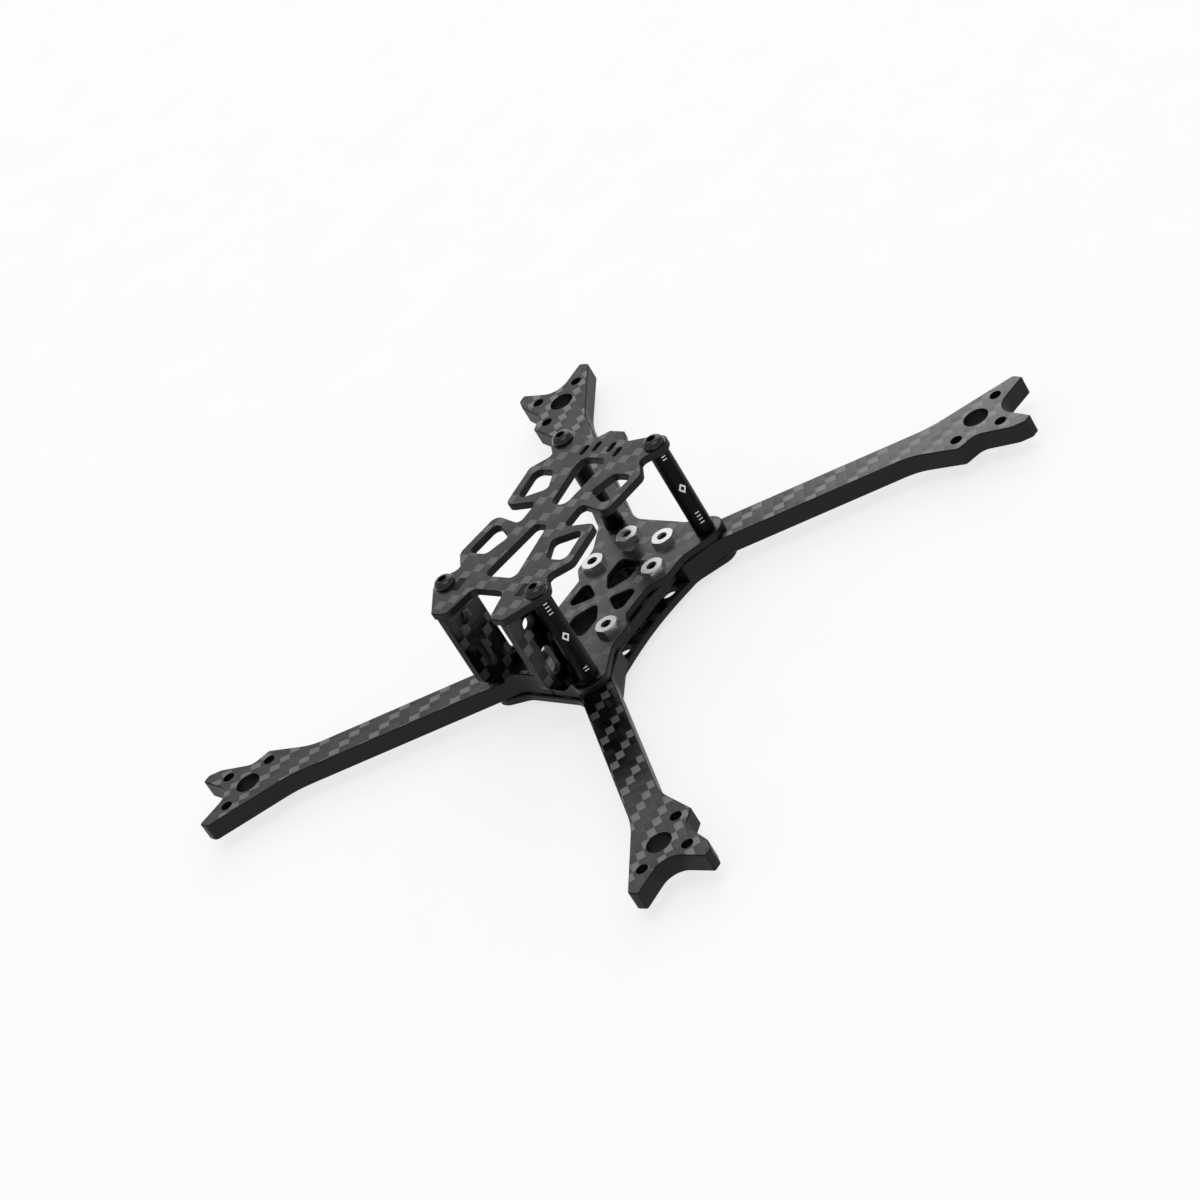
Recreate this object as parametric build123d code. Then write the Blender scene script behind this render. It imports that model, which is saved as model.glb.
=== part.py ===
"""Bare freestyle quadcopter frame: three carbon plates, a brace, four arms, camera plates and fasteners.

Millimetres, +Z up, the nose of the aircraft points along -Y. The origin is under the middle of the
frame, on the plane of the lowest screw heads.
"""
from build123d import *
import math
import os
from collections import namedtuple

# ---- overall sizes ----
motor_pitch_x = 139.0        # between left and right motor axes
motor_pitch_y = 139.0        # between front and rear motor axes
standoff_pitch_x = 30.5      # each arm's axis runs from a standoff to a motor
standoff_pitch_y = 50.5
standoff_length = 25.0
stack_pitch = 20.0           # square bolt pattern of the electronics stack

# ---- stock ----
top_plate_t = 2.0
mid_plate_t = 2.0
lower_plate_t = 2.0
arm_t = 5.0
brace_t = 3.0
camera_plate_t = 2.0
edge_break = 0.25            # chamfer on the cut edges of every carbon piece

# ---- fasteners (M3) ----
screw_clearance_d = 3.2      # plain holes in the plates and arms
thread_bore_d = 2.7          # tapped holes, drawn plain at the pitch diameter
thread_gap = 0.05            # radial gap between a screw and its tapped hole
head_d = 5.5
head_h = 1.65
head_socket = 2.0            # hexagon across flats
head_socket_depth = 1.0
top_screw_grip = 6.0         # thread in the standoff
lower_screw_grip = 5.0       # thread in the standoff
arm_screw_recess = 0.7       # of the screw's tip below the nut's top
standoff_d = 5.0
nut_flats = 5.5
nut_h = 1.7                  # above the plate
nut_bevel = 0.38                # takes only the corners off the top
nut_shank_d = 4.2
press_gap = 0.02             # radial gap between a pressed shank and its hole
set_screw_recess = 0.4       # below the nut's top
set_screw_inset = 0.3        # of the screw's tip inside the nut's shank
set_screw_socket = 1.5
set_screw_socket_depth = 1.4
access_hole_d = 4.5          # under each stack nut, through the lower plate

# ---- arms ----
arm_width = 8.6
motor_hole_d = 6.4
motor_bolt_d = 3.0
motor_bolt_pcd = 16.0
root_gap = 0.1               # between arm roots and the brace
seam_gap = 0.15              # from each root to the plane between left and right
root_end_inset = 0.6         # of the root inside the middle plate's end
arm_bolt_x = 6.0             # inner bolt of each arm root
arm_bolt_step = 5.25         # from the standoff to that bolt, along Y

# ---- plates ----
top_lobe_r = 3.4             # round each standoff, top plate
mid_lobe_r = 4.5             # round each standoff, middle and lower plates
end_setback = 1.85           # from the standoff axis out to the plates' straight ends
mid_half_width = 15.0
mid_waist = 11.6             # half width between the waist notches
lower_waist = 12.5           # half width where the lower plate's sides bend in
brace_side_wall = 2.6        # brace beyond the stack bolts' axes, along X
brace_end_wall = 3.6         # brace beyond the stack bolts' axes, along Y
brace_window_wall = 1.6      # brace left beyond its windows
top_half_width = 18.9        # to the tips of the top plate's wings
top_waist = 7.5              # half width between the wings
strap_notch = 7.4            # between the wings, along Y

# ---- camera plates ----
camera_gap = 1.05            # from each camera plate to the standoff beside it
camera_overhang = 7.7        # ahead of the plates' straight ends
camera_depth = 11.8          # along Y
camera_foot = 1.0            # of its foot behind its rear edge
camera_hole_d = 3.3
camera_hole_drop = 4.5       # below the top plate
camera_hole_setback = 5.3    # behind the front edge
camera_slot_w = 3.0
camera_slot_low = 5.0        # above the middle plate
camera_slot_high = 13.0
tab_gap = 0.1                # round each tab in its slot
top_tab_wall = 0.1           # from the plates' straight ends to the upper tab
top_tab_length = 3.9
foot_tab_wall = 1.3          # from the plates' straight ends to the lower tab
foot_tab_length = 3.2

# ---- levels, from the lowest heads up ----
lower_z = head_h
arm_z = lower_z + lower_plate_t
mid_z = arm_z + arm_t
brace_z = mid_z - brace_t
bay_z = mid_z + mid_plate_t
top_z = bay_z + standoff_length
top_face_z = top_z + top_plate_t

# ---- places ----
standoff_x = standoff_pitch_x / 2
standoff_y = standoff_pitch_y / 2
motor_x = motor_pitch_x / 2
motor_y = motor_pitch_y / 2
stack_xy = stack_pitch / 2
arm_bolt_y = standoff_y - arm_bolt_step
brace_half_width = stack_xy + brace_side_wall
brace_half_length = stack_xy + brace_end_wall
end_y = standoff_y + end_setback
camera_x = standoff_x - standoff_d / 2 - camera_gap - camera_plate_t
camera_front = end_y + camera_overhang
camera_rear = camera_front - camera_depth
top_tab_front = end_y - top_tab_wall
top_tab_rear = top_tab_front - top_tab_length
foot_tab_front = end_y - foot_tab_wall
foot_tab_rear = foot_tab_front - foot_tab_length
arm_angle = math.atan2(motor_y - standoff_y, motor_x - standoff_x)
QUADRANTS = {"rear_right": (1, 1), "rear_left": (-1, 1), "front_right": (1, -1), "front_left": (-1, -1)}
SPAN = 1000.0                # longer than anything in the model

Turn = namedtuple("Turn", "x y radius is_disc")


def corner(x, y, radius=0.0):
    """A corner of an outline, rounded to a radius."""
    return Turn(x, y, radius, False)


def disc(x, y, radius):
    """A disc that the outline wraps round on its outside."""
    return Turn(x, y, radius, True)


def headings(turns):
    """The direction of each straight run, which touches the discs at its two ends."""
    result = []
    for here, there in zip(turns, turns[1:] + turns[:1]):
        run = math.hypot(there.x - here.x, there.y - here.y)
        bearing = math.atan2(there.y - here.y, there.x - here.x)
        step = (there.radius if there.is_disc else 0.0) - (here.radius if here.is_disc else 0.0)
        result.append(bearing - math.asin(step / run))
    return result


def outline(turns):
    """A closed face, listed anticlockwise, with straight runs between rounded corners and discs."""
    ways = headings(turns)
    arcs = []
    for index, turn in enumerate(turns):
        way_in = ways[index - 1]
        way_out = ways[index]
        bend = math.remainder(way_out - way_in, 2 * math.pi)
        if turn.is_disc and bend < 0:
            bend += 2 * math.pi
        if turn.is_disc:
            signed = turn.radius
            centre = (turn.x, turn.y)
        else:
            signed = math.copysign(turn.radius, bend)
            reach = turn.radius * math.tan(abs(bend) / 2)
            centre = (
                turn.x - reach * math.cos(way_in) - signed * math.sin(way_in),
                turn.y - reach * math.sin(way_in) + signed * math.cos(way_in),
            )
        arcs.append([
            (centre[0] + signed * math.sin(way), centre[1] - signed * math.cos(way))
            for way in (way_in, way_in + bend / 2, way_out)
        ])
    edges = []
    for index, arc in enumerate(arcs):
        if math.dist(arc[0], arc[2]) > 1e-6:
            edges.append(ThreePointArc(*arc))
        start = arc[2]
        end = arcs[(index + 1) % len(arcs)][0]
        if math.dist(start, end) > 1e-6:
            edges.append(Line(start, end))
    return Face(Wire(edges))


def both_sides(right_half):
    """A full outline from its right half, which is listed from the front to the rear."""
    left_half = [turn._replace(x=-turn.x) for turn in reversed(right_half)]
    return right_half + left_half


def both_ends(front_half):
    """A right half from its front part, repeated in mirror image at the rear."""
    rear_half = [turn._replace(y=-turn.y) for turn in reversed(front_half)]
    return front_half + rear_half


def mirrored_left(face):
    """The face and its copy on the other side of the frame."""
    return [face, face.mirror(Plane.YZ)]


def mirrored_front(face):
    """The face and its copy at the other end of the frame."""
    return [face, face.mirror(Plane.XZ)]


def at_four(x, y):
    """The four places at plus and minus x and y."""
    return [(sx * x, sy * y) for sx, sy in QUADRANTS.values()]


def cut_plate(face, openings, z, thickness):
    """A carbon piece cut from sheet: outline less openings, with broken edges."""
    for opening in openings:
        face = face - opening
    solid = extrude(face, thickness, dir=(0, 0, 1))
    levels = solid.edges().group_by(Axis.Z)
    solid = chamfer(levels[0] + levels[-1], edge_break)
    return Pos(0, 0, z) * solid


def drill(solid, places, diameter):
    """The solid with round holes right through it at each place."""
    drills = [Pos(x, y, 0) * Cylinder(diameter / 2, SPAN) for x, y in places]
    return solid - drills


def tab_slots(front, rear):
    """Two slots that the camera plates' tabs stand in."""
    width = camera_plate_t + 2 * tab_gap
    length = front - rear + 2 * tab_gap
    centre_x = camera_x + camera_plate_t / 2
    return [Pos(s * centre_x, -(front + rear) / 2, 0) * Box(width, length, SPAN) for s in (1, -1)]


def centre_windows(end_limit):
    """The shield-shaped and triangular lightening windows round the middle of the frame."""
    shield = outline(both_sides([
        corner(0.0, 2.2, 1.2), corner(3.6, 7.2, 2.0), corner(3.6, end_limit, 1.4),
    ])[:-1])
    triangle = outline([corner(2.3, 0.0, 1.0), corner(8.8, -4.9, 1.5), corner(8.8, 4.9, 1.5)])
    return mirrored_front(shield) + mirrored_left(triangle)


def make_mid_plate():
    """The main plate, which carries the nuts and the standoffs."""
    front = [
        corner(8.5, -end_y, 6.0),
        disc(standoff_x, -standoff_y, mid_lobe_r),
        corner(mid_half_width, -(brace_half_length + 1.6), 6.0),
        corner(mid_half_width, -8.4, 3.0),
        corner(mid_waist, -4.7, 1.5),
    ]
    plate = cut_plate(outline(both_sides(both_ends(front))), centre_windows(13.0), mid_z, mid_plate_t)
    plate = plate - tab_slots(foot_tab_front, foot_tab_rear)
    plate = drill(plate, at_four(standoff_x, standoff_y), screw_clearance_d)
    shanks = at_four(stack_xy, stack_xy) + at_four(arm_bolt_x, arm_bolt_y)
    return drill(plate, shanks, nut_shank_d + 2 * press_gap)


def make_lower_plate():
    """The plate under the arms, with hollowed sides."""
    front = [
        corner(8.5, -end_y, 6.0),
        disc(standoff_x, -standoff_y, mid_lobe_r),
        corner(lower_waist + 2.1, -(brace_half_length + 2.4), 5.0),
    ]
    half = both_ends(front)
    half.insert(len(front), corner(lower_waist, 0.0, 80.0))
    plate = cut_plate(outline(both_sides(half)), centre_windows(13.0), lower_z, lower_plate_t)
    bolts = at_four(standoff_x, standoff_y) + at_four(arm_bolt_x, arm_bolt_y)
    plate = drill(plate, bolts, screw_clearance_d)
    return drill(plate, at_four(stack_xy, stack_xy), access_hole_d)


def make_brace():
    """The block between the arm roots that the stack nuts are pressed into."""
    front = [corner(brace_half_width, -brace_half_length, 1.5)]
    windows = centre_windows(brace_half_length - brace_window_wall)
    brace = cut_plate(outline(both_sides(both_ends(front))), windows, brace_z, brace_t)
    return drill(brace, at_four(stack_xy, stack_xy), nut_shank_d + 2 * press_gap)


def make_top_plate():
    """The winged plate on the standoffs, with strap windows and antenna slits."""
    wing = [
        corner(top_half_width - 4.2, -(standoff_y - 5.45), 1.5),
        corner(top_half_width, -(standoff_y - 10.35), 2.5),
        corner(top_half_width - 1.9, -(strap_notch / 2 - 2.1), 2.3),
        corner(top_waist, -strap_notch / 2, 1.3),
    ]
    nose = [
        corner(5.2, -(end_y - 0.9), 2.0),
        corner(standoff_x - 7.95, -(end_y + 8.0), 2.2),
        corner(standoff_x - 3.25, -(end_y + 8.2), 1.2),
        disc(standoff_x, -standoff_y, top_lobe_r),
    ]
    tail = [
        disc(standoff_x, standoff_y, top_lobe_r),
        corner(5.6, end_y - 1.2, 1.0),
        corner(2.3, end_y + 2.2, 0.5),
    ]
    window_y = standoff_y - 10.85
    side_window = outline([
        corner(7.4, 8.4, 1.3), corner(14.6, 4.2, 1.6),
        corner(16.2, window_y, 1.6), corner(10.2, window_y, 1.6),
    ])
    rear_window = outline(both_sides([corner(2.3, 3.5, 2.0), corner(4.6, standoff_y - 5.85, 2.4)]))
    front_window = outline(both_sides([corner(5.1, -(standoff_y - 3.85), 1.6), corner(2.0, -3.9, 1.0)]))
    slits = [
        Pos(x, standoff_y - drop, 0) * SlotOverall(3.2, 1.1, rotation=90).face()
        for x, drop in ((2.45, 1.75), (5.5, 3.2))
    ]
    openings = mirrored_front(side_window)
    openings = [copy for face in openings + slits for copy in mirrored_left(face)]
    openings += [rear_window, front_window]
    face = outline(both_sides(nose + both_ends(wing) + tail))
    plate = cut_plate(face, openings, top_z, top_plate_t)
    plate = plate - tab_slots(top_tab_front, top_tab_rear)
    return drill(plate, at_four(standoff_x, standoff_y), screw_clearance_d)


def arm_point(u, v):
    """A place on the rear right arm: u out from the motor axis, v to its left."""
    return (
        motor_x + u * math.cos(arm_angle) - v * math.sin(arm_angle),
        motor_y + u * math.sin(arm_angle) + v * math.cos(arm_angle),
    )


def arm_side(v, *, x=None, y=None):
    """Where an arm side, v to the left of the axis, crosses the given x or y."""
    slope = math.tan(arm_angle)
    on_x, on_y = arm_point(0, v)
    if x is None:
        return (on_x + (y - on_y) / slope, y)
    return (x, on_y + (x - on_x) * slope)


def make_arm():
    """The rear right arm: a bolted root, a straight beam and a swallow-tailed motor pad."""
    side = arm_width / 2
    root_y = brace_half_length + root_gap
    outer_y = end_y - root_end_inset
    pad = [
        (-17.5, -side, 15.0), (-5.5, -9.6, 1.0), (-0.9, -6.9, 3.5), (8.0, -10.15, 3.0),
        (11.5, -10.1, 1.0), (13.0, -8.4, 0.6), (5.0, 0.0, 4.8), (13.0, 8.4, 0.6),
        (10.9, 10.6, 1.5), (-11.5, side, 25.0),
    ]
    turns = [corner(mid_half_width, root_y, 0.8), corner(*arm_side(-side, x=standoff_x + 4.0), 5.0)]
    turns += [corner(*arm_point(u, v), radius) for u, v, radius in pad]
    turns += [corner(*arm_side(side, y=outer_y), 6.0), corner(seam_gap, outer_y, 0.5)]
    turns += [corner(seam_gap, root_y, 0.5)]
    arm = cut_plate(outline(turns), [], arm_z, arm_t)
    arm = drill(arm, [(standoff_x, standoff_y), (arm_bolt_x, arm_bolt_y)], screw_clearance_d)
    arm = drill(arm, [(motor_x, motor_y)], motor_hole_d)
    reach = motor_bolt_pcd / 2 / math.sqrt(2)
    bolts = [arm_point(reach, reach), arm_point(reach, -reach), arm_point(-reach, -reach)]
    return drill(arm, bolts, motor_bolt_d)


def make_camera_plate():
    """The right camera plate, drawn in the YZ plane with a tab at each end."""
    foot_y = camera_foot - camera_rear
    face = outline([
        corner(-foot_tab_rear, mid_z), corner(-foot_tab_rear, bay_z), corner(foot_y, bay_z, 0.4),
        corner(foot_y, bay_z + 3.0, 1.0), corner(-camera_rear, bay_z + 5.5, 1.5),
        corner(-camera_rear, top_z), corner(-top_tab_rear, top_z), corner(-top_tab_rear, top_face_z, 0.3),
        corner(-top_tab_front, top_face_z, 0.3), corner(-top_tab_front, top_z),
        corner(-camera_front, top_z, 0.6), corner(-camera_front, bay_z + 4.6, 2.0),
        corner(-camera_front + 3.9, bay_z, 2.0), corner(-foot_tab_front, bay_z),
        corner(-foot_tab_front, mid_z),
    ])
    centre_y = -camera_front + camera_hole_setback
    hole = Pos(centre_y, top_z - camera_hole_drop) * Circle(camera_hole_d / 2)
    slot_z = bay_z + (camera_slot_low + camera_slot_high) / 2
    slot = SlotOverall(camera_slot_high - camera_slot_low, camera_slot_w, rotation=90)
    face = face - hole - Pos(centre_y, slot_z) * slot
    stand_up = Plane(origin=(camera_x, 0, 0), x_dir=(0, 1, 0), z_dir=(1, 0, 0))
    return stand_up * extrude(face, camera_plate_t)


def hex_socket(flats, depth, top):
    """The cutter of a hexagon socket that opens upwards."""
    return Pos(0, 0, top - depth) * extrude(RegularPolygon(flats / 2, 6, major_radius=False), depth)


def make_button_screw(length):
    """A button-head screw that points down, with the underside of its head at z = 0."""
    radius = thread_bore_d / 2 - thread_gap
    rim = 0.35
    profile = Polyline(
        (0, head_h), (0, -length), (radius - 0.3, -length), (radius, -length + 0.3),
        (radius, 0), (head_d / 2, 0), (head_d / 2, rim),
    )
    crown = ThreePointArc((head_d / 2, rim), (head_d / 2 - 0.42, head_h - 0.48), (head_d / 4, head_h))
    closing = Line((head_d / 4, head_h), (0, head_h))
    flat = Face(Wire(profile.edges() + [crown.edge(), closing.edge()]))
    solid = revolve(Plane.XZ * flat, Axis.Z)
    return solid - hex_socket(head_socket, head_socket_depth, head_h)


def make_press_nut(shank_length):
    """A hexagonal press nut: head above z = 0, shank below, tapped through."""
    head = extrude(RegularPolygon(nut_flats / 2, 6, major_radius=False), nut_h)
    bevel = chamfer(Cylinder(nut_flats / 2 + 0.45, 2 * nut_h).edges().group_by(Axis.Z)[-1], nut_bevel)
    head = head & bevel
    shank = Pos(0, 0, -shank_length / 2) * Cylinder(nut_shank_d / 2, shank_length)
    return head + shank - Cylinder(thread_bore_d / 2, SPAN)


def make_set_screw():
    """A headless screw with its top at z = 0."""
    length = nut_h + mid_plate_t + brace_t - set_screw_recess - set_screw_inset
    body = Pos(0, 0, -length / 2) * Cylinder(thread_bore_d / 2 - thread_gap, length)
    body = chamfer(body.edges().group_by(Axis.Z)[0], 0.3)
    return body - hex_socket(set_screw_socket, set_screw_socket_depth, 0)


def make_standoff():
    """A round tapped pillar that stands on z = 0."""
    pillar = Pos(0, 0, standoff_length / 2) * Cylinder(standoff_d / 2, standoff_length)
    ends = pillar.edges().filter_by(GeomType.CIRCLE)
    return chamfer(ends, 0.2) - Cylinder(thread_bore_d / 2, SPAN)


def group(piece, places, z, upside_down=False):
    """Separate copies of one fastener at the given places."""
    turned = Rot(180, 0, 0) * piece if upside_down else piece
    return Compound(children=[Pos(x, y, z) * turned for x, y in places])


def in_quadrant(solid, sx, sy):
    """A rear right piece in mirror image for another quadrant."""
    if sx < 0:
        solid = mirror(solid, Plane.YZ)
    if sy < 0:
        solid = mirror(solid, Plane.XZ)
    return solid


def build():
    """Every node of the frame by name."""
    standoffs = at_four(standoff_x, standoff_y)
    arm_bolts = at_four(arm_bolt_x, arm_bolt_y)
    stack = at_four(stack_xy, stack_xy)
    layers = lower_plate_t + arm_t + mid_plate_t
    top_screw = make_button_screw(top_plate_t + top_screw_grip)
    lower_screw = make_button_screw(layers + lower_screw_grip)
    arm_screw = make_button_screw(layers + nut_h - arm_screw_recess)
    nodes = {
        "top_plate": make_top_plate(),
        "mid_plate": make_mid_plate(),
        "lower_plate": make_lower_plate(),
        "centre_brace": make_brace(),
        "top_screws": group(top_screw, standoffs, top_face_z),
        "lower_screws": group(lower_screw, standoffs, lower_z, True),
        "arm_screws": group(arm_screw, arm_bolts, lower_z, True),
        "arm_press_nuts": group(make_press_nut(mid_plate_t), arm_bolts, bay_z),
        "stack_press_nuts": group(make_press_nut(mid_plate_t + brace_t), stack, bay_z),
        "stack_set_screws": group(make_set_screw(), stack, bay_z + nut_h - set_screw_recess),
    }
    arm = make_arm()
    standoff = Pos(standoff_x, standoff_y, bay_z) * make_standoff()
    for place, (sx, sy) in QUADRANTS.items():
        nodes[f"arm_{place}"] = in_quadrant(arm, sx, sy)
        nodes[f"standoff_{place}"] = in_quadrant(standoff, sx, sy)
    camera_plate = make_camera_plate()
    nodes["camera_plate_right"] = camera_plate
    nodes["camera_plate_left"] = in_quadrant(camera_plate, -1, 1)
    return nodes


os.makedirs("parts", exist_ok=True)
for name, shape in build().items():
    export_step(shape, f"parts/{name}.step")
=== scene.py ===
"""Looks for a bare racing quadcopter frame: carbon plates and arms, standoffs and screws.

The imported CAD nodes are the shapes. This script gives each one its finish, adds the etched
marks on the standoffs and the threads in the press nuts, and sets the floor, lights and camera.
"""

import logging
import math
from dataclasses import dataclass, field
from enum import Enum
from typing import Any, Dict, List, Sequence, Tuple, Union

import bpy
import numpy as np
from mathutils import Matrix, Vector


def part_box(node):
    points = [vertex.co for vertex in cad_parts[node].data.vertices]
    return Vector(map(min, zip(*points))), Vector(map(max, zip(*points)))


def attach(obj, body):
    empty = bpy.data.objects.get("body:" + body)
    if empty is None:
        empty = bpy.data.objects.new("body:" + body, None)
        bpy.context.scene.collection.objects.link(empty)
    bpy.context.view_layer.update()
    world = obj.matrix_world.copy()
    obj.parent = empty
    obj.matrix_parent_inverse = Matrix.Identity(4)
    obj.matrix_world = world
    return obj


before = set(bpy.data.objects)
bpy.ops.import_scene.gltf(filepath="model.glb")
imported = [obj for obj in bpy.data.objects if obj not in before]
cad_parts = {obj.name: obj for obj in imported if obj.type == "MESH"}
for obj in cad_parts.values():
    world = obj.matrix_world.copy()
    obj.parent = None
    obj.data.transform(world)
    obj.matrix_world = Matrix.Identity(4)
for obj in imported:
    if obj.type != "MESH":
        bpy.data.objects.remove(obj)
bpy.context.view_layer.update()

MM = 0.001
FULL_TURN = 2.0 * math.pi
FLAT_ENOUGH = 0.9
LOG = logging.getLogger("quad_frame")
Colour = Tuple[float, float, float, float]
Skin = Tuple[np.ndarray, List[List[int]]]


def grey(level: float) -> Colour:
    """Returns the neutral colour of one linear level."""
    return (level, level, level, 1.0)


# ---------------------------------------------------------------------------
# Shader arithmetic
# ---------------------------------------------------------------------------


class Wire:
    """One value in a material's tree that takes part in arithmetic."""

    def __init__(self, bench: "Bench", socket: bpy.types.NodeSocket) -> None:
        """Keeps the bench that the value belongs to and its output socket."""
        self.bench = bench
        self.socket = socket

    def _maths(self, operation: str, *values: Any) -> "Wire":
        """Adds one Math node for an operation on these values."""
        settings = {"operation": operation}
        return self.bench.node("ShaderNodeMath", settings, dict(enumerate(values)))

    def __add__(self, other: Any) -> "Wire":
        """Sum."""
        return self._maths("ADD", self, other)

    def __radd__(self, other: Any) -> "Wire":
        """Sum with a number on the left."""
        return self._maths("ADD", other, self)

    def __sub__(self, other: Any) -> "Wire":
        """Difference."""
        return self._maths("SUBTRACT", self, other)

    def __rsub__(self, other: Any) -> "Wire":
        """Difference from a number on the left."""
        return self._maths("SUBTRACT", other, self)

    def __mul__(self, other: Any) -> "Wire":
        """Product."""
        return self._maths("MULTIPLY", self, other)

    def __rmul__(self, other: Any) -> "Wire":
        """Product with a number on the left."""
        return self._maths("MULTIPLY", other, self)

    def __truediv__(self, other: Any) -> "Wire":
        """Quotient."""
        return self._maths("DIVIDE", self, other)

    def __mod__(self, other: Any) -> "Wire":
        """Remainder that is never negative."""
        return self._maths("FLOORED_MODULO", self, other)

    def __pow__(self, other: Any) -> "Wire":
        """Power."""
        return self._maths("POWER", self, other)

    def __lt__(self, other: Any) -> "Wire":
        """1 where the value is under the other, otherwise 0."""
        return self._maths("LESS_THAN", self, other)

    def __gt__(self, other: Any) -> "Wire":
        """1 where the value is over the other, otherwise 0."""
        return self._maths("GREATER_THAN", self, other)

    def __abs__(self) -> "Wire":
        """Size without sign."""
        return self._maths("ABSOLUTE", self)

    def floor(self) -> "Wire":
        """Whole part, rounded down."""
        return self._maths("FLOOR", self)

    def sin(self) -> "Wire":
        """Sine of an angle in radians."""
        return self._maths("SINE", self)

    def most(self, other: Any) -> "Wire":
        """The larger of two values."""
        return self._maths("MAXIMUM", self, other)


class Bench:
    """Builds one material's node tree."""

    def __init__(self, name: str) -> None:
        """Makes an empty material of that name."""
        self.material = bpy.data.materials.new(name)
        self.material.use_nodes = True
        self.tree = self.material.node_tree
        self.tree.nodes.clear()

    def node(
        self,
        kind: str,
        settings: Dict[str, Any],
        inputs: Dict[Union[int, str], Any],
        out: Union[int, str] = 0,
    ) -> Wire:
        """Adds a node of any type.

        Args:
            kind: the node's type name.
            settings: attributes of the node, set before its sockets.
            inputs: socket name or number to a number, colour or Wire.
            out: the output socket that is wanted.

        Returns:
            The wanted output as a Wire.
        """
        made = self.tree.nodes.new(kind)
        for key, value in settings.items():
            setattr(made, key, value)
        for key, value in inputs.items():
            if isinstance(value, Wire):
                self.tree.links.new(value.socket, made.inputs[key])
            else:
                made.inputs[key].default_value = value
        return Wire(self, made.outputs[out])

    def place(self) -> Tuple[Wire, Wire, Wire]:
        """Returns the object's x, y and z in millimetres."""
        coords = self.node("ShaderNodeTexCoord", {}, {}, "Object")
        parts = self.node("ShaderNodeSeparateXYZ", {}, {0: coords})
        outputs = parts.socket.node.outputs
        x, y, z = (Wire(self, outputs[k]) / MM for k in range(3))
        return x, y, z

    def facing(self, axis: int) -> Wire:
        """Finds how squarely the surface faces along an axis.

        Args:
            axis: 0, 1 or 2 for x, y or z.

        Returns:
            The share, 0 to 1.
        """
        normal = self.node("ShaderNodeNewGeometry", {}, {}, "True Normal")
        parts = self.node("ShaderNodeSeparateXYZ", {}, {0: normal})
        return abs(Wire(self, parts.socket.node.outputs[axis]))

    def point(self, a: Any, b: Any, c: Any = 0.0) -> Wire:
        """Joins three values into a vector."""
        return self.node("ShaderNodeCombineXYZ", {}, {0: a, 1: b, 2: c})

    def noise(self, where: Wire, scale: float, detail: float = 2.0) -> Wire:
        """Makes soft noise.

        Args:
            where: the place as a vector.
            scale: how many features a unit holds.
            detail: how many finer octaves are added.

        Returns:
            The noise, 0 to 1.
        """
        inputs = {"Vector": where, "Scale": scale, "Detail": detail}
        return self.node("ShaderNodeTexNoise", {}, inputs)

    def chance(self, where: Wire) -> Wire:
        """Returns one random value, 0 to 1, for each distinct vector."""
        settings = {"noise_dimensions": "3D"}
        return self.node("ShaderNodeTexWhiteNoise", settings, {"Vector": where}, "Value")

    def tint(self, share: Wire, low: Any, high: Any) -> Wire:
        """Mixes two colours, fixed or varying, by a share of 0 to 1.

        Args:
            share: how much of the second colour shows.
            low: the colour at 0.
            high: the colour at 1.

        Returns:
            The mixed colour.
        """
        settings = {"data_type": "RGBA", "clamp_factor": True}
        return self.node("ShaderNodeMix", settings, {0: share, 6: low, 7: high}, 2)

    def bump(self, height: Wire, depth: float) -> Wire:
        """Turns a relief into a normal.

        Args:
            height: the relief, 0 to 1.
            depth: the height of 1, in millimetres.

        Returns:
            The normal.
        """
        inputs = {"Height": height, "Distance": depth * MM, "Strength": 1.0}
        return self.node("ShaderNodeBump", {}, inputs)

    def shader(self, **inputs: Any) -> Wire:
        """Adds a Principled shader. Underscores in names stand for spaces."""
        sockets = {name.replace("_", " "): value for name, value in inputs.items()}
        return self.node("ShaderNodeBsdfPrincipled", {}, sockets)

    def close(self, surface: Wire) -> bpy.types.Material:
        """Joins the surface to the output and returns the material."""
        last = self.tree.nodes.new("ShaderNodeOutputMaterial")
        self.tree.links.new(surface.socket, last.inputs["Surface"])
        return self.material


# ---------------------------------------------------------------------------
# Finishes
# ---------------------------------------------------------------------------


class Cloth(Enum):
    """How the carbon cloth lies in a part."""

    ALONG_ARM = "rows along each arm"
    FLAT = "rows along the plate"
    UPRIGHT = "rows in an upright plate"


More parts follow.
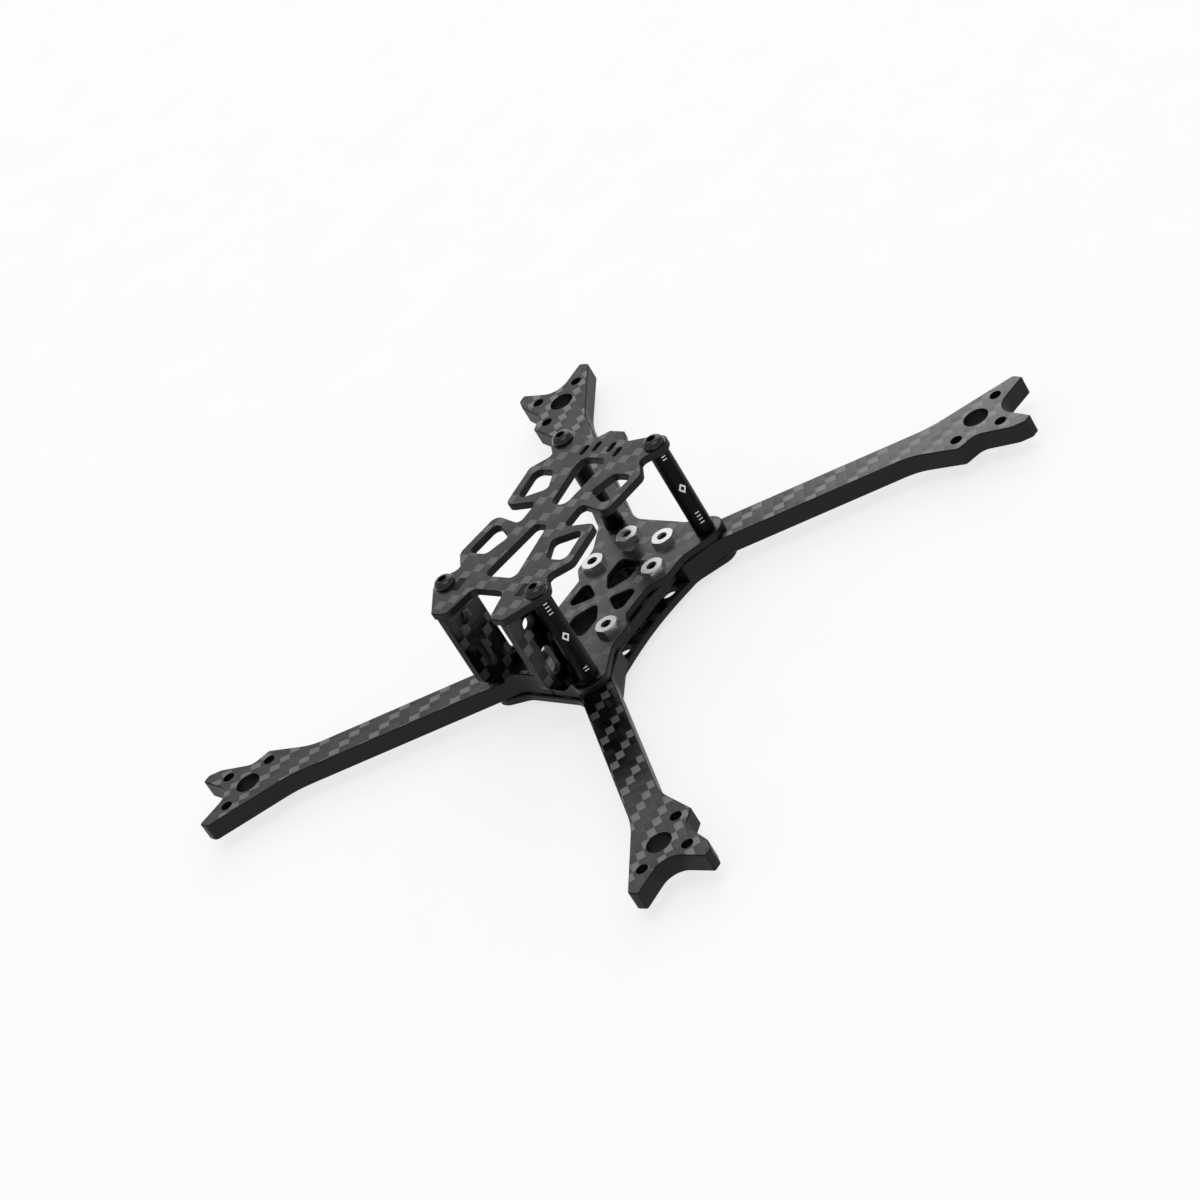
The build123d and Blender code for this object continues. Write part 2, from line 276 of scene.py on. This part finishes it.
@dataclass(frozen=True)
class WovenCarbon:
    """Twill carbon laminate: bright and dull tows on the faces, the bright ones partly painted
    sheen, plain dark cut edges.
    """

    name: str
    cloth: Cloth
    cell: Tuple[float, float]
    start: Tuple[float, float]
    ground: float
    bright: float
    gloss: float = 0.22
    matt: float = 0.58
    edge: float = 0.024
    ply: float = 0.25
    relief: float = 0.012
    cut_relief: float = 0.010
    cell_spread: float = 0.10
    tow_spread: float = 0.08
    streak_spread: float = 0.60
    weft_dip: float = 0.14
    lit_base: float = 0.62
    painted_highlight_crown: float = 0.22
    painted_shade_slope: float = 0.25
    lift: float = 0.10
    filament_long: float = 0.35
    filament_fine: float = 7.0
    dust_scale: float = 0.6
    rough_spread: float = 0.08
    cut_rough: float = 0.42
    cut_rough_spread: float = 0.14
    cut_shades: Tuple[float, float] = (0.8, 1.3)
    arm_angle: float = math.atan2(44.25, 54.25)
    motor_at: float = 69.5

    def rows(self, bench: Bench) -> Tuple[Wire, Wire]:
        """Returns the two distances, in millimetres, along and across the cloth."""
        x, y, z = bench.place()
        if self.cloth is Cloth.UPRIGHT:
            return y, z
        if self.cloth is Cloth.FLAT:
            return x, y
        east, north = abs(x) - self.motor_at, abs(y) - self.motor_at
        cosine, sine = math.cos(self.arm_angle), math.sin(self.arm_angle)
        return east * cosine + north * sine, north * cosine - east * sine

    def make(self) -> bpy.types.Material:
        """Builds the laminate.

        Cell number i along and j across give the step k = (i - j) mod 4. Step 0 is the bright
        part of a float, lighter partly from the twill and partly from painted sheen: a painted
        highlight at its middle and a painted shade along it. 0 and 1 are tows along the row, 2 and
        3 tows across it.

        Returns:
            The material.
        """
        bench = Bench(self.name)
        along, across = self.rows(bench)
        a = (along - self.start[0]) / self.cell[0]
        b = (across - self.start[1]) / self.cell[1]
        i, j = a.floor(), b.floor()
        step = (i - j) % 4.0
        lit = step < 0.5
        warp = step < 1.5
        own = bench.chance(bench.point(i, j, 3.0))
        tow = bench.chance(bench.point(i - j, warp, 7.0))
        # Filaments: noise stretched twenty times along the tow that lies on top.
        slow, fine = self.filament_long, self.filament_fine
        streak_a = bench.noise(bench.point(along * slow, across * fine), 1.0, 3.0)
        streak_b = bench.noise(bench.point(along * fine, across * slow, 5.0), 1.0, 3.0)
        streak = streak_b + (streak_a - streak_b) * warp
        fa, fb = a - i, b - j
        crown = (fa * math.pi).sin() * (fb * math.pi).sin()
        tone = self.cell_spread * (own - 0.5) + self.tow_spread * (tow - 0.5)
        tone = tone + self.streak_spread * (streak - 0.5) - self.weft_dip * (step > 2.5)
        # Painted sheen: step-0 cells get a painted highlight at their middle (crown) and painted
        # shade that lightens along the cell (slope).
        share = lit * (self.lit_base + self.painted_highlight_crown * crown + self.painted_shade_slope * fa)
        share = share + tone + self.lift
        weave_colour = bench.tint(share, grey(self.ground), grey(self.bright))
        relief = crown.most(0.0) ** 0.5 * 0.7 + streak * 0.3
        dust = bench.noise(bench.point(along, across, 2.0), self.dust_scale, 3.0)
        rough = self.gloss + (self.matt - self.gloss) * lit
        face = bench.shader(
            Base_Color=weave_colour,
            Metallic=1.0,
            Roughness=rough + self.rough_spread * (dust - 0.5) + self.rough_spread * (own - 0.5),
            Normal=bench.bump(relief, self.relief),
        )
        x, y, z = bench.place()
        depth = x if self.cloth is Cloth.UPRIGHT else z
        layers = ((depth * (FULL_TURN / self.ply)).sin() + 1.0) * 0.5
        grit = bench.noise(bench.point(x, y, z * 3.0), 3.0, 3.0)
        dark, pale = (grey(self.edge * shade) for shade in self.cut_shades)
        cut = bench.shader(
            Base_Color=bench.tint(layers * 0.35 + grit * 0.5, dark, pale),
            Metallic=1.0,
            Roughness=self.cut_rough + self.cut_rough_spread * grit,
            Normal=bench.bump(layers * 0.5 + grit * 0.5, self.cut_relief),
        )
        flat = bench.facing(0 if self.cloth is Cloth.UPRIGHT else 2) > FLAT_ENOUGH
        return bench.close(bench.node("ShaderNodeMixShader", {}, {0: flat, 1: cut, 2: face}))


@dataclass(frozen=True)
class TurnedMetal:
    """Metal worked on a lathe: fine rings around an upright axis, with small stains."""

    name: str
    low: float
    high: float
    roughness: float
    ring: float
    coat: float = 0.0
    painted_shade_flank: float = 1.0
    groove: float = 0.0008
    ring_spread: float = 0.10
    mottle_spread: float = 0.06
    coat_roughness: float = 0.12

    def make(self) -> bpy.types.Material:
        """Builds the metal: brightness follows fine rings in height and a slow mottle.

        Sides that don't face up or down carry painted shade: they are as bright as the tops times
        the painted-shade share.

        Returns:
            The material.
        """
        bench = Bench(self.name)
        x, y, z = bench.place()
        rings = bench.noise(bench.point(x * 0.4, y * 0.4, z * self.ring), 1.0, 3.0)
        mottle = bench.noise(bench.point(x, y, z), 1.3, 4.0)
        share = rings * 0.7 + mottle * 0.3
        turned = bench.tint(share, grey(self.low), grey(self.high))
        # Painted shade: side faces get the tops' colours scaled down by the painted-shade share.
        painted_shade_flank = bench.tint(share, grey(self.low * self.painted_shade_flank), grey(self.high * self.painted_shade_flank))
        top = bench.facing(2) > FLAT_ENOUGH
        rough = self.roughness + self.ring_spread * (rings - 0.5)
        rough = rough + self.mottle_spread * (mottle - 0.5)
        surface = bench.shader(
            Base_Color=bench.tint(top, painted_shade_flank, turned),
            Metallic=1.0,
            Roughness=rough,
            Coat_Weight=self.coat,
            Coat_Roughness=self.coat_roughness,
            Normal=bench.bump(rings, self.groove),
        )
        return bench.close(surface)


@dataclass(frozen=True)
class EtchedWhite:
    """Pale laser etching, a little uneven where the metal shows through."""

    name: str = "etched_white"
    relief: float = 0.004
    low: float = 0.62
    high: float = 0.95
    grain_scale: float = 14.0

    def make(self) -> bpy.types.Material:
        """Builds the etching: a matt white with a fine grain.

        Returns:
            The material.
        """
        bench = Bench(self.name)
        grain = bench.noise(bench.point(*bench.place()), self.grain_scale, 2.0)
        surface = bench.shader(
            Base_Color=bench.tint(grain, grey(self.low), grey(self.high)),
            Roughness=0.55 + 0.2 * grain,
            Normal=bench.bump(grain, self.relief),
        )
        return bench.close(surface)


@dataclass(frozen=True)
class PaleFloor:
    """Matt pale studio floor that is lit a little from beneath, like a light table."""

    name: str = "pale_floor"
    glow: float = 0.72
    low: float = 0.30
    high: float = 0.32
    grain_scale: float = 0.05

    def make(self) -> bpy.types.Material:
        """Builds the floor: near white, with a grain too faint to see from afar.

        Returns:
            The material.
        """
        bench = Bench(self.name)
        grain = bench.noise(bench.point(*bench.place()), self.grain_scale, 2.0)
        surface = bench.shader(
            Base_Color=bench.tint(grain, grey(self.low), grey(self.high)),
            Roughness=0.9,
            Specular_IOR_Level=0.1,
            Emission_Color=grey(1.0),
            Emission_Strength=self.glow,
        )
        return bench.close(surface)


# ---------------------------------------------------------------------------
# Meshes
# ---------------------------------------------------------------------------


def skin(points: np.ndarray, ends_shut: bool, wraps: bool) -> Skin:
    """Turns rings of points into faces.

    Args:
        points: stations x ring points x 3; each ring is closed.
        ends_shut: whether the first and last rings get a face.
        wraps: whether the last ring joins the first.

    Returns:
        The vertices, one row each, and the faces as lists of vertex numbers.
    """
    stations, around = points.shape[:2]
    number = np.arange(stations * around).reshape(stations, around)
    here = number if wraps else number[:-1]
    there = np.roll(number, -1, axis=0) if wraps else number[1:]
    corners = [here, there, np.roll(there, -1, 1), np.roll(here, -1, 1)]
    faces = np.stack(corners, axis=-1).reshape(-1, 4).tolist()
    if ends_shut:
        faces += [number[0].tolist(), number[-1, ::-1].tolist()]
    return points.reshape(-1, 3), faces


def solid_piece(
    name: str, parts: Sequence[Skin], finish: bpy.types.Material
) -> bpy.types.Object:
    """Makes one object of several closed skins, in metres, riding on the frame.

    Args:
        name: the piece's name.
        parts: vertices in millimetres and faces of each skin.
        finish: its material.

    Returns:
        The object.
    """
    offsets = np.cumsum([0] + [len(points) for points, _ in parts])
    vertices = np.concatenate([points for points, _ in parts]) * MM
    faces = [
        [number + int(first) for number in face]
        for (_, ring), first in zip(parts, offsets)
        for face in ring
    ]
    mesh = bpy.data.meshes.new(name)
    mesh.from_pydata(vertices.tolist(), [], faces)
    mesh.validate()
    mesh.materials.append(finish)
    piece = bpy.data.objects.new(name, mesh)
    bpy.context.scene.collection.objects.link(piece)
    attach(piece, "root")
    return piece


def dress(finish: bpy.types.Material, *nodes: str) -> None:
    """Puts a finish on CAD nodes.

    Args:
        finish: the material.
        nodes: names of CAD nodes.
    """
    for name in nodes:
        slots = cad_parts[name].data.materials
        slots.clear()
        slots.append(finish)


# ---------------------------------------------------------------------------
# Sub-assemblies
# ---------------------------------------------------------------------------


@dataclass
class Plates:
    """Top, mid and lower plates and the brace between the arm roots."""

    names: Tuple[str, ...] = ("top_plate", "lower_plate", "centre_brace")
    middle: Tuple[str, ...] = ("mid_plate",)
    finish: WovenCarbon = WovenCarbon(
        "plate_weave", Cloth.FLAT, (2.6, 2.6), (0.4, 0.2), ground=0.096, bright=0.175, matt=0.50
    )
    # Painted light: the mid plate is the same carbon as the other plates, given a lighter copy of
    # the weave for the light it catches.
    middle_painted_light_finish: WovenCarbon = WovenCarbon(
        "mid_plate_weave_painted_light",
        Cloth.FLAT,
        (2.6, 2.6),
        (0.4, 0.2),
        ground=0.125,
        bright=0.200,
        matt=0.45,
    )

    def build(self) -> str:
        """Dresses the plates and returns what was done."""
        dress(self.finish.make(), *self.names)
        dress(self.middle_painted_light_finish.make(), *self.middle)
        return "plates in twill carbon"


@dataclass
class Arms:
    """The four arms, mirror images of each other."""

    names: Tuple[str, ...] = (
        "arm_rear_right",
        "arm_rear_left",
        "arm_front_right",
        "arm_front_left",
    )
    finish: WovenCarbon = WovenCarbon(
        "arm_weave",
        Cloth.ALONG_ARM,
        (2.75, 2.05),
        (-21.2 - 2.75 / 2, -3.4 - 2.05 / 2),
        ground=0.092,
        bright=0.235,
        matt=0.46,
    )

    def build(self) -> str:
        """Dresses the arms and returns what was done."""
        dress(self.finish.make(), *self.names)
        return "arms in twill carbon"


@dataclass
class CameraPlates:
    """The two upright plates that hold the camera."""

    names: Tuple[str, ...] = ("camera_plate_right", "camera_plate_left")
    finish: WovenCarbon = WovenCarbon(
        "camera_weave",
        Cloth.UPRIGHT,
        (2.5, 2.5),
        (0.3, 0.1),
        ground=0.020,
        bright=0.095,
        gloss=0.16,
        matt=0.42,
    )

    def build(self) -> str:
        """Dresses the plates and returns what was done."""
        dress(self.finish.make(), *self.names)
        return "camera plates in glossy twill carbon"


@dataclass
class Standoffs:
    """Four black anodised standoffs with plain etched marks that face outwards."""

    radius: float = 2.5
    proud: float = 0.012
    sunk: float = 0.05
    facing: float = math.radians(-28.0)
    bar_half: Tuple[float, float] = (0.55, 0.13)
    diamond_half: Tuple[float, float] = (1.0, 1.45)
    diamond_hole: float = 0.52
    diamond_height: float = 0.56
    bar_stations: int = 7
    diamond_stations: int = 48
    rear_bars: Tuple[float, ...] = (0.13, 0.17, 0.21, 0.25, 0.93, 0.965)
    front_bars: Tuple[float, ...] = (0.13, 0.165, 0.85, 0.89, 0.93, 0.97)
    names: Tuple[str, ...] = (
        "standoff_rear_right",
        "standoff_rear_left",
        "standoff_front_right",
        "standoff_front_left",
    )

    def on_rod(
        self, centre: np.ndarray, turn: np.ndarray, height: np.ndarray, radius: np.ndarray
    ) -> np.ndarray:
        """Wraps a flat mark round the rod.

        The sideways distance becomes an angle: angle = facing + distance / rod radius, and the
        point is centre + radius * (cos angle, sin angle) at that height. Rods on the left face
        the other way.

        Args:
            centre: the rod's axis in plan.
            turn: sideways distances.
            height: heights.
            radius: distances from the axis.

        Returns:
            The points, with a last axis of 3.
        """
        middle = self.facing if centre[0] > 0.0 else math.pi - self.facing
        angle = middle + turn / self.radius
        x = centre[0] + radius * np.cos(angle)
        y = centre[1] + radius * np.sin(angle)
        return np.stack([x, y, height + 0.0 * x], axis=-1)

    def wall(self) -> np.ndarray:
        """Returns the distances from the axis of a mark's four long edges, outside then inside."""
        depths = [self.proud, self.proud, -self.sunk, -self.sunk]
        return self.radius + np.array(depths)[None, :]

    def bar(self, centre: np.ndarray, height: float) -> Skin:
        """Makes a level bar: a small rectangle carried sideways round the rod.

        Args:
            centre: the rod's axis in plan.
            height: the bar's middle height.

        Returns:
            Its vertices and faces.
        """
        half, thick = self.bar_half
        along = np.linspace(-half, half, self.bar_stations)[:, None]
        rise = np.array([-thick, thick, thick, -thick])[None, :]
        out = self.wall()
        return skin(self.on_rod(centre, along, height + rise, out + 0.0 * along), True, False)

    def diamond(self, centre: np.ndarray, height: float) -> Skin:
        """Makes a hollow diamond: two triangle waves a quarter turn apart, drawn at two sizes.

        Args:
            centre: the rod's axis in plan.
            height: the diamond's middle height.

        Returns:
            Its vertices and faces.
        """
        t = np.arange(self.diamond_stations) / self.diamond_stations
        wave = 1.0 - 4.0 * np.abs((t + 0.5) % 1.0 - 0.5)
        quarter = 1.0 - 4.0 * np.abs((t + 0.25) % 1.0 - 0.5)
        size = np.array([1.0, self.diamond_hole, self.diamond_hole, 1.0])[None, :]
        out = self.wall()
        wide = wave[:, None] * self.diamond_half[0] * size
        tall = quarter[:, None] * self.diamond_half[1] * size
        return skin(self.on_rod(centre, wide, height + tall, out + 0.0 * wide), False, True)

    def build(self) -> str:
        """Dresses the rods and adds their marks.

        Returns:
            What was done.
        """
        dress(TurnedMetal("anodised_black", 0.006, 0.012, 0.46, 9.0).make(), *self.names)
        white = EtchedWhite().make()
        for name in self.names:
            low, high = (np.array(corner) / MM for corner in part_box(name))
            centre = (low[:2] + high[:2]) / 2.0
            shares = self.front_bars if "front" in name else self.rear_bars
            heights = [low[2] + share * (high[2] - low[2]) for share in shares]
            middle = low[2] + self.diamond_height * (high[2] - low[2])
            parts = [self.bar(centre, h) for h in heights] + [self.diamond(centre, middle)]
            solid_piece(name.replace("standoff", "marks"), parts, white)
        return "standoffs anodised, with etched marks"


@dataclass
class Fasteners:
    """Screws, press nuts and the threads that show inside the nuts."""

    black: Tuple[str, ...] = ("top_screws", "lower_screws", "arm_screws", "stack_set_screws")
    bright: Tuple[str, ...] = ("arm_press_nuts", "stack_press_nuts")
    bore: float = 1.35
    thread: float = 0.13
    pitch: float = 0.5
    turns: float = 1.2
    nut_top: float = 12.35
    open_nuts: Tuple[Tuple[float, float], ...] = (
        (6.0, 20.0),
        (6.0, -20.0),
        (-6.0, 20.0),
        (-6.0, -20.0),
    )
    ridge_half: float = 0.16
    ridge_root: float = 0.03
    first_turn_depth: float = 0.22
    steps_a_turn: int = 40
    fade_rate: float = 8.0
    fade_least: float = 0.05

    def helix(self, at: Tuple[float, float]) -> Skin:
        """Makes a thread ridge: a triangle carried round a helix on the bore's wall.

        Height falls by one pitch a turn from just under the nut's top: z = top - pitch * turn.
        The ridge fades to a point at both ends.

        Args:
            at: the bore's axis in plan.

        Returns:
            Its vertices and faces.
        """
        turn = np.linspace(0.0, self.turns, int(self.steps_a_turn * self.turns))[:, None]
        to_end = np.minimum(turn, self.turns - turn)
        fade = np.clip(to_end * self.fade_rate, self.fade_least, 1.0)
        profile = np.array([self.ridge_root, -self.thread, self.ridge_root])[None, :]
        radius = self.bore + profile * fade
        rise = np.array([-self.ridge_half, 0.0, self.ridge_half])[None, :] * fade
        angle = FULL_TURN * turn
        x, y = at[0] + radius * np.cos(angle), at[1] + radius * np.sin(angle)
        z = self.nut_top - self.first_turn_depth - self.pitch * turn + rise
        points = np.stack([x, y, z + 0.0 * x], axis=-1)[::-1]
        return skin(points, True, False)

    def build(self) -> str:
        """Dresses the screws and nuts and adds the threads.

        Returns:
            What was done.
        """
        dress(TurnedMetal("oxide_black", 0.014, 0.038, 0.13, 6.0, 0.5).make(), *self.black)
        # Bright steel with painted shade on the sides of the nuts and thread ridges, at 0.38 of
        # the tops.
        steel = TurnedMetal("bright_steel_turned", 0.92, 1.0, 0.34, 7.0, painted_shade_flank=0.38).make()
        dress(steel, *self.bright)
        ridges = [self.helix(at) for at in self.open_nuts]
        solid_piece("nut_threads", ridges, steel)
        return "screws blacked, nuts bright, threads cut"


# ---------------------------------------------------------------------------
# Studio
# ---------------------------------------------------------------------------


def direction(azimuth: float, elevation: float) -> Vector:
    """Returns the unit vector towards an azimuth and elevation in degrees."""
    a, e = math.radians(azimuth), math.radians(elevation)
    return Vector((math.cos(e) * math.cos(a), math.cos(e) * math.sin(a), math.sin(e)))


@dataclass
class SoftBox:
    """One large soft light aimed at the frame."""

    name: str
    azimuth: float
    elevation: float
    distance: float
    size: Tuple[float, float]
    radiance: float

    def build(self) -> str:
        """Makes the light. Its power is radiance x area x pi, a surface of that brightness.

        Returns:
            What was made.
        """
        light = bpy.data.lights.new(self.name, "AREA")
        light.shape = "RECTANGLE"
        light.size, light.size_y = self.size
        light.energy = self.radiance * self.size[0] * self.size[1] * math.pi
        lamp = bpy.data.objects.new(self.name, light)
        way = direction(self.azimuth, self.elevation)
        lamp.location = way * self.distance
        lamp.rotation_euler = way.to_track_quat("Z", "Y").to_euler()
        bpy.context.scene.collection.objects.link(lamp)
        return f"soft light {self.name}"


@dataclass
class Studio:
    """Pale floor, even surround and soft lights."""

    surround: float = 0.57
    floor_half: float = 12.0
    floor_drop: float = 0.02
    lights: List[SoftBox] = field(
        default_factory=lambda: [
            SoftBox("back_panel", 114.0, 34.0, 3.0, (2.4, 2.2), 1.2),
            SoftBox("overhead", 20.0, 82.0, 2.6, (1.6, 1.6), 1.3),
        ]
    )

    def build(self) -> str:
        """Makes the floor, surround and lights.

        Returns:
            What was made.
        """
        world = bpy.data.worlds.new("studio")
        world.use_nodes = True
        backing = world.node_tree.nodes["Background"]
        backing.inputs[0].default_value = grey(1.0)
        backing.inputs[1].default_value = self.surround
        bpy.context.scene.world = world
        bpy.context.scene.view_settings.view_transform = "Standard"
        span = np.array([-self.floor_half, self.floor_half])
        x, y = np.meshgrid(span, span, indexing="ij")
        corners = np.stack([x, y, 0.0 * x - self.floor_drop * MM], axis=-1).reshape(-1, 3)
        mesh = bpy.data.meshes.new("floor")
        mesh.from_pydata(corners.tolist(), [], [[0, 2, 3, 1]])
        mesh.materials.append(PaleFloor().make())
        floor = bpy.data.objects.new("floor", mesh)
        bpy.context.scene.collection.objects.link(floor)
        for lamp in self.lights:
            LOG.info(lamp.build())
        return "floor and surround"


@dataclass
class Viewpoint:
    """Camera on a long lens, rolled so that the level frame seems to bank."""

    azimuth: float = -34.3646
    elevation: float = 31.2805
    roll: float = -32.2327
    distance: float = 0.95626
    aim: Tuple[float, float, float] = (-0.00104, -0.00027, 0.00981)
    lens: float = 120.313

    def build(self) -> str:
        """Makes the camera.

        Its back axis is the direction from the aim to the camera. Level right is up x back, and
        right and up are then turned together about the back axis by the roll.

        Returns:
            What was made.
        """
        back = direction(self.azimuth, self.elevation)
        level = Vector((0.0, 0.0, 1.0)).cross(back).normalized()
        rise = back.cross(level)
        turn = math.radians(self.roll)
        right = level * math.cos(turn) + rise * math.sin(turn)
        axes = Matrix((right, back.cross(right), back)).transposed()
        data = bpy.data.cameras.new("view")
        data.lens, data.sensor_width = self.lens, 36.0
        data.clip_start, data.clip_end = 0.01, 100.0
        camera = bpy.data.objects.new("view", data)
        camera.location = Vector(self.aim) + back * self.distance
        camera.rotation_euler = axes.to_euler()
        bpy.context.scene.collection.objects.link(camera)
        bpy.context.scene.camera = camera
        return "camera"


def main() -> None:
    """Builds every sub-assembly in order and reports each one."""
    logging.basicConfig(level=logging.INFO, format="%(name)s: %(message)s")
    pieces = (Plates(), Arms(), CameraPlates(), Standoffs(), Fasteners())
    for part in (*pieces, Studio(), Viewpoint()):
        LOG.info("%s: %s", type(part).__name__, part.build())


if __name__ == "__main__":
    main()
